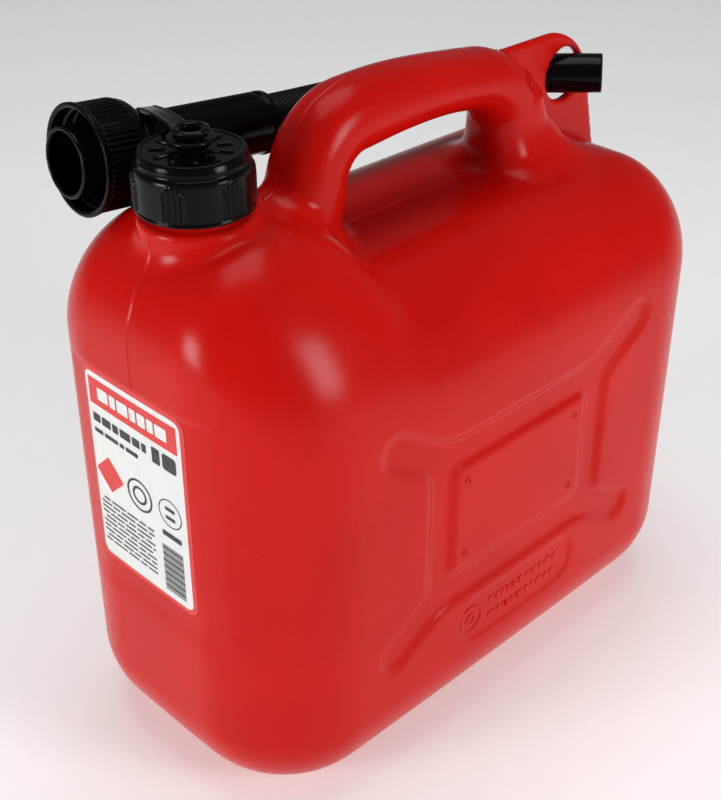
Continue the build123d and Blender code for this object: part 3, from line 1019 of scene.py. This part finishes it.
def diamond(u, v, half):
    """Columns of a square standing on its corner."""
    us = np.linspace(-half, half, 13)
    return us + u, v - (half - np.abs(us)), v + (half - np.abs(us))


def dark_print(high):
    """Plain strokes, rings and bars that stand where a label has its small print."""
    shapes = [block_shape(u, u + w, high - 27.5, high - 23.2, 0.5) for u, w in
              ((-27, 5), (-21, 6), (-14, 4), (-9, 7), (-1, 5), (5, 3))]
    shapes.append(block_shape(11.5, 16.5, high - 29.5, high - 21.5, 0.8))
    shapes.append(block_shape(18, 26.5, high - 29.5, high - 21.5, 1.6))
    shapes += [block_shape(u, u + w, high - 33.2, high - 31.0, 0.3) for u, w in
               ((-27, 6), (-20, 9), (-10, 3), (-6, 8))]
    shapes += ring_shapes(0.5, 49, 8.2, 1.1) + ring_shapes(0.5, 49, 4.6, 1.3)
    shapes += ring_shapes(20, 50, 7.2, 0.6)
    shapes += [block_shape(17, 23, 51.2, 53.0, 0.4), block_shape(17, 23, 46.6, 48.4, 0.4)]
    shapes.append(block_shape(14, 26, 36.5, 39.3, 0.6))
    for row in range(10):
        v = 33.5 - 2.6 * row
        start = -28.0 if row % 4 else -26.0
        for k in range(5 - (row % 3 == 2)):
            wide = 4.5 + 2.5 * ((row * 7 + k * 5) % 3)
            end = min(start + wide, 8.0)
            if end > start + 1:
                shapes.append(block_shape(start, end, v, v + 1.0, 0.2))
            start = end + 1.1
    v = 6.0
    for k in range(22):
        thick = 0.45 + 0.45 * ((k * 5 + k * k) % 3)
        shapes.append(block_shape(13.0, 26.0, v, v + thick))
        v += thick + 0.42
    return [columns(*shape, 1, lambda u, v: on_front(u, v, PRINT_LEVEL)) for shape in shapes]


def on_side(u, v, level):
    """Points of the near broad side at x = u and z = v, at a height over the shell."""
    points = np.stack([u, np.full(len(u), -HALF_W), v], axis=1)
    return settle(shell, points, 4, 3.0, level)


def make_side_marks():
    """Small moulded marks on the near side: rings and strokes on the plate, small rings on the plateau."""
    shapes = ring_shapes(-31, PLATE_Z, 8.0, 1.0) + ring_shapes(-31, PLATE_Z, 3.4, 1.2)
    rows = ((63.6, (5, 3, 7, 4, 6, 4, 5, 3, 6, 4)), (54.4, (6, 4, 5, 3, 7, 4, 3, 6, 4, 5)))
    for foot_z, strokes in rows:
        start = -18.0
        for wide in strokes:
            end = start + wide * LETTER_SCALE
            shapes.append(block_shape(start, end, foot_z, foot_z + LETTER_H, 1.1))
            start += wide * LETTER_SCALE + LETTER_GAP
    for x in (-38.5, 38.5):
        for z in (107.0, 148.0):
            shapes += ring_shapes(x, z, 2.0, 0.8)
    parts = []
    for shape in shapes:
        parts += pad(*shape, on_side, -MARK_LEVEL, MARK_LEVEL)
    return make_object("side_marks", parts, RED, "can", ())


def seam(guide, height):
    """The parting line of the mould: a fine, slightly wavy ridge on the shell near (x, z) points."""
    _, points, _ = walk([(x, 0, z) for x, z in guide], 1.0)
    points = settle(shell, points, 6, 4.0)
    _, points, _ = walk(points, 1.0)
    wave = 0.25 * np.sin(points[:, 2] * 0.33 + points[:, 0] * 0.21)
    lanes = ((-1.1, -0.15), (-0.5, 0.3), (-0.15, 1.0), (0.15, 1.0), (0.5, 0.3), (1.1, -0.15))
    rows = []
    for offset, share in lanes:
        lane = points.copy()
        lane[:, 1] += offset + wave
        rows.append(settle(shell, lane, 3, 2.0, height * share))
    rings = np.stack(rows, axis=0)
    count = len(points)
    i, j = np.meshgrid(np.arange(len(lanes) - 1), np.arange(count - 1))
    first = (i * count + j).ravel()
    quads = np.stack([first, first + 1, first + count + 1, first + count], axis=1)
    return rings.reshape(-1, 3), quads


def make_seams():
    """The seam where it shows: down the front, along the grip, along the top and down the rear."""
    front = [(-143, 276), (-150, 262), (-158, 245), (-160, 212)]
    grip = [(-83, 276), (-76, 285), (-70, 299), (-56, 310), (-30, 313), (4, 313), (36, 309.5)]
    top = [(-42, 246), (0, 247), (50, 247)]
    rear = [(146, 236), (153, 225), (158, 205), (160, 120), (159, 60)]
    parts = [seam(front, FRONT_SEAM_HEIGHT)]
    parts += [seam(guide, SEAM_HEIGHT) for guide in (grip, top, rear)]
    return make_object("mould_seam", parts, RED, "can", ())


def dress_hidden_rings():
    """Rubber on the seal and the gasket, which are shown as the CAD has them."""
    for node in ("cap_seal", "spout_gasket"):
        frame["nodes"][node].data.materials.clear()
        frame["nodes"][node].data.materials.append(RUBBER)


make_can_body()
make_side_marks()
make_seams()
make_label()
make_cap()
make_collar()
make_spout_base()
make_hose()
make_tip()
make_tether()
dress_hidden_rings()


# --- stage ---------------------------------------------------------------------------------------
def make_floor():
    """One large square under the can."""
    mesh = bpy.data.meshes.new("floor")
    side = FLOOR_HALF
    corners = [(-side, -side, 0), (side, -side, 0), (side, side, 0), (-side, side, 0)]
    mesh.from_pydata(corners, [], [(0, 1, 2, 3)])
    mesh.materials.append(floor_paper())
    floor = bpy.data.objects.new("floor", mesh)
    bpy.context.collection.objects.link(floor)


def make_lamp(name, place, target, width, height, power):
    """A soft box that faces the target."""
    light = bpy.data.lights.new(name, "AREA")
    light.shape = "RECTANGLE"
    light.size, light.size_y = width, height
    light.energy = power
    lamp = bpy.data.objects.new(name, light)
    lamp.location = place
    lamp.rotation_mode = "QUATERNION"
    lamp.rotation_quaternion = (Vector(target) - Vector(place)).to_track_quat("-Z", "Y")
    bpy.context.collection.objects.link(lamp)


def make_camera():
    """The camera stands at the front left corner and looks down at the can."""
    azimuth = math.radians(CAMERA_AZIMUTH)
    elevation = math.radians(CAMERA_ELEVATION)
    back = Vector((math.sin(azimuth) * math.cos(elevation),
                   -math.cos(azimuth) * math.cos(elevation), math.sin(elevation)))
    camera = bpy.data.cameras.new("camera")
    camera.sensor_fit = "VERTICAL"
    camera.sensor_height = 36.0
    camera.lens = CAMERA_LENS
    stand = bpy.data.objects.new("camera", camera)
    stand.location = Vector(CAMERA_TARGET) + back * CAMERA_DISTANCE
    stand.rotation_mode = "QUATERNION"
    stand.rotation_quaternion = (-back).to_track_quat("-Z", "Y")
    bpy.context.collection.objects.link(stand)
    bpy.context.scene.camera = stand


def make_world():
    """Weak, even light from all round."""
    world = bpy.data.worlds.new("studio")
    world.use_nodes = True
    background = world.node_tree.nodes["Background"]
    background.inputs["Color"].default_value = (*WORLD_COLOUR, 1)
    background.inputs["Strength"].default_value = WORLD_STRENGTH
    bpy.context.scene.world = world


make_floor()
make_world()
make_lamp("left", (-1.15, 0.20, 0.36), (-0.02, 0, 0.15), 0.34, 0.34, 6.0)
make_lamp("right", (0.26, -1.17, 0.52), (0, 0, 0.17), 0.36, 0.52, 7.0)
make_lamp("over", (0.1, 0.2, 1.9), (0, 0, 0.2), 1.2, 1.2, 11.5)
make_camera()

bpy.context.scene.view_settings.view_transform = "Standard"
